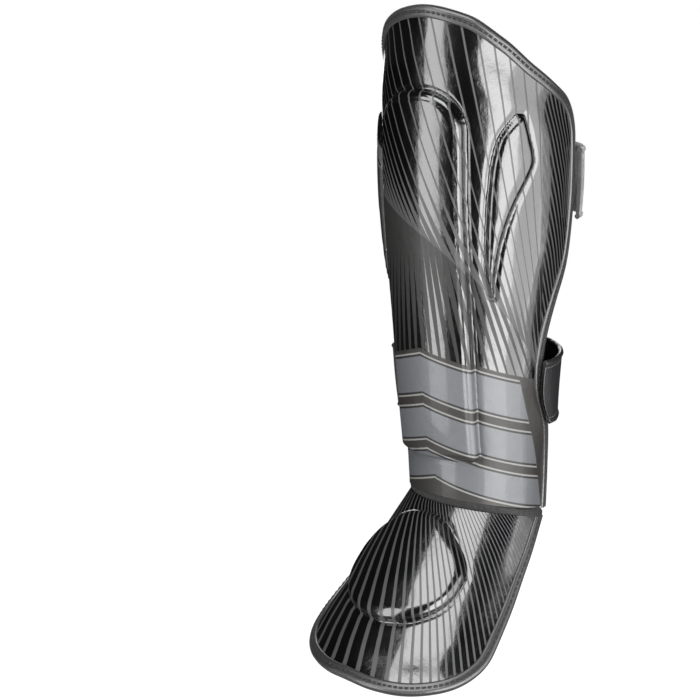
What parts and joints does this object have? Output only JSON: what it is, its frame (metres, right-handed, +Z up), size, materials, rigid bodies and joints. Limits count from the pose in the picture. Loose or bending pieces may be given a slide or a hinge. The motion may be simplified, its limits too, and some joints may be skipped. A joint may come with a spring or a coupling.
{
  "type": "shin and instep guard",
  "caption": "Padded guard that wraps the front of the lower leg and covers the instep, with raised pads, bound edges and straps that close behind the leg.",
  "frame": {"origin": "where the shin bears: on the shell's inner face, at the front centre and half way up the shell", "axes": "+Z up along the leg, the front of the shin faces -Y, +X to the right as seen from the front of the guard looking along +Y"},
  "size_m": [0.1556, 0.2223, 0.4619],
  "materials": {
    "cover": "glossy coated synthetic leather with printed stripes",
    "hinge_cloth": "matte",
    "tape": "satin woven tape",
    "strap_cover": "satin coated synthetic leather",
    "webbing": "matte elastic webbing",
    "hook_tape": "matte hook fastener"
  },
  "bodies": {
    "root": {"shin_shell": "cover", "shin_bar_pad": "cover", "side_pad_right": "cover", "side_pad_left": "cover", "ankle_hinge": "hinge_cloth", "instep_flap": "cover", "instep_pad": "cover", "shin_binding": "tape", "instep_binding": "tape", "calf_strap": "strap_cover", "shin_strap": "strap_cover", "ankle_strap": "webbing", "calf_strap_patch": "hook_tape", "shin_strap_patch": "hook_tape", "ankle_strap_patch": "hook_tape"}
  },
  "joints": []
}
